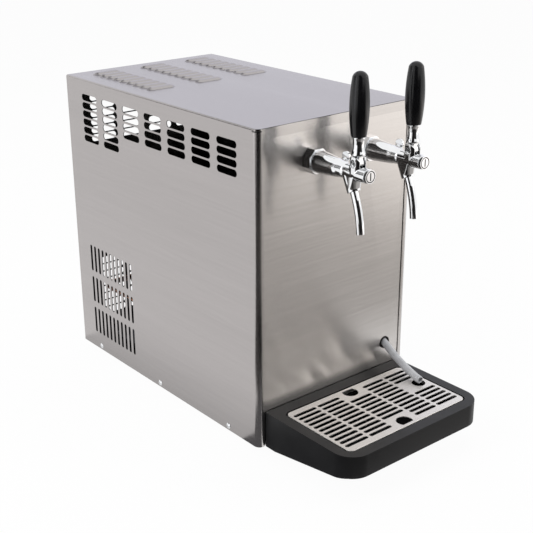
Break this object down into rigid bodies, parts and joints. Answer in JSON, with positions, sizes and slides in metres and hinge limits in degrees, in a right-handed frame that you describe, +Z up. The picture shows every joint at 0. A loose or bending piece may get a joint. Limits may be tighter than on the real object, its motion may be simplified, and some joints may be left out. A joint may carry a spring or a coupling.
{
  "type": "countertop draft beer cooler",
  "caption": "Free-standing steel cabinet that chills beer from a keg line, with compensator taps above a slide-out drip tray.",
  "frame": {"origin": "centre of the bounding box, on the plane under the feet", "axes": "+Z up, +X to the right seen from the front, the taps and the tray face -Y"},
  "size_m": [0.2576, 0.5924, 0.4832],
  "materials": {
    "steel_cover": "brushed stainless steel sheet",
    "steel_panel": "fine brushed stainless steel sheet",
    "zinc_sheet": "zinc plated steel sheet",
    "grate_steel": "satin stainless steel",
    "chrome": "polished chrome",
    "brass": "turned brass",
    "copper": "drawn copper tube",
    "grip_black": "glossy black moulded plastic",
    "tray_black": "satin black moulded plastic",
    "black_plastic": "black moulded plastic",
    "white_plastic": "white moulded plastic",
    "rubber": "black rubber",
    "hose_grey": "grey flexible tube",
    "foam": "rigid insulating foam",
    "aluminium": "cast aluminium",
    "iron_black": "black painted steel shell",
    "switch_red": "red glossy plastic"
  },
  "bodies": {
    "cabinet": {"base_pan": "zinc_sheet", "rubber_feet": "rubber", "wrap_cover": "steel_cover", "front_panel": "steel_panel", "rear_panel": "zinc_sheet", "cover_screws": "chrome", "tray_guides": "zinc_sheet", "tap_collars": "chrome", "tap_shanks": "chrome", "shank_nuts": "brass", "tap_body_left": "chrome", "tap_body_right": "chrome", "tap_end_caps": "chrome", "pivot_pins": "zinc_sheet", "spout_left": "chrome", "spout_right": "chrome", "hose_grommet": "rubber", "drain_hose": "hose_grey", "cold_box": "foam", "cold_box_lid": "foam", "chill_block": "aluminium", "beer_supply_lines": "white_plastic", "beer_tap_lines": "white_plastic", "beer_inlets": "white_plastic", "compressor": "iron_black", "compressor_mounts": "rubber", "terminal_cover": "black_plastic", "condenser": "aluminium", "fan_shroud": "zinc_sheet", "fan_motor": "iron_black", "discharge_pipe": "copper", "suction_pipe": "copper", "liquid_line": "copper", "filter_drier": "copper", "thermostat": "white_plastic", "power_inlet": "black_plastic", "power_switch": "black_plastic"},
    "handle_left": {"handle_stem_left": "chrome", "handle_grip_left": "grip_black"},
    "handle_right": {"handle_stem_right": "chrome", "handle_grip_right": "grip_black"},
    "valve_left": {"plunger_left": "zinc_sheet"},
    "valve_right": {"plunger_right": "zinc_sheet"},
    "flow_left": {"flow_lever_left": "chrome"},
    "flow_right": {"flow_lever_right": "chrome"},
    "throttle_left": {"flow_cone_left": "white_plastic"},
    "throttle_right": {"flow_cone_right": "white_plastic"},
    "tray": {"drip_tray": "tray_black"},
    "grate": {"drip_grate": "grate_steel"},
    "fan": {"fan_blades": "aluminium"},
    "knob": {"thermostat_knob": "black_plastic"},
    "rocker": {"power_rocker": "switch_red"}
  },
  "joints": [
    {"name": "handle_left_tilt", "type": "hinge", "parent": "cabinet", "child": "handle_left", "pos_m": [-0.044, -0.22125, 0.381], "axis": [1, 0, 0], "range_deg": [0, 40]},
    {"name": "valve_left_slide", "type": "slide", "parent": "cabinet", "child": "valve_left", "axis": [0, 1, 0], "range_m": [0, 0.00838]},
    {"name": "flow_left_turn", "type": "hinge", "parent": "cabinet", "child": "flow_left", "pos_m": [-0.044, -0.17875, 0.369], "axis": [1, 0, 0], "range_deg": [-90, 0]},
    {"name": "throttle_left_slide", "type": "slide", "parent": "cabinet", "child": "throttle_left", "axis": [0, -1, 0], "range_m": [-0.004, 0]},
    {"name": "handle_right_tilt", "type": "hinge", "parent": "cabinet", "child": "handle_right", "pos_m": [0.044, -0.22125, 0.381], "axis": [1, 0, 0], "range_deg": [0, 40]},
    {"name": "valve_right_slide", "type": "slide", "parent": "cabinet", "child": "valve_right", "axis": [0, 1, 0], "range_m": [0, 0.00838]},
    {"name": "flow_right_turn", "type": "hinge", "parent": "cabinet", "child": "flow_right", "pos_m": [0.044, -0.17875, 0.369], "axis": [1, 0, 0], "range_deg": [-90, 0]},
    {"name": "throttle_right_slide", "type": "slide", "parent": "cabinet", "child": "throttle_right", "axis": [0, -1, 0], "range_m": [-0.004, 0]},
    {"name": "tray_slide", "type": "slide", "parent": "cabinet", "child": "tray", "axis": [0, -1, 0], "range_m": [0, 0.08]},
    {"name": "grate_lift", "type": "slide", "parent": "tray", "child": "grate", "axis": [0, 0, 1], "range_m": [0, 0.02], "deforming": ["drain_hose"]},
    {"name": "fan_spin", "type": "hinge", "parent": "cabinet", "child": "fan", "pos_m": [0.0876, 0.16125, 0.105], "axis": [1, 0, 0], "continuous": true},
    {"name": "thermostat_turn", "type": "hinge", "parent": "cabinet", "child": "knob", "pos_m": [0.075, 0.28025, 0.217], "axis": [0, 1, 0], "range_deg": [0, 270]},
    {"name": "rocker_tilt", "type": "hinge", "parent": "cabinet", "child": "rocker", "pos_m": [0.075, 0.27405, 0.162], "axis": [1, 0, 0], "range_deg": [-20, 0]}
  ],
  "couplings": [
    {"joint": "valve_left_slide", "follows": "handle_left_tilt", "m_per_rad": 0.012},
    {"joint": "throttle_left_slide", "follows": "flow_left_turn", "m_per_rad": 0.0025465},
    {"joint": "valve_right_slide", "follows": "handle_right_tilt", "m_per_rad": 0.012},
    {"joint": "throttle_right_slide", "follows": "flow_right_turn", "m_per_rad": 0.0025465}
  ]
}
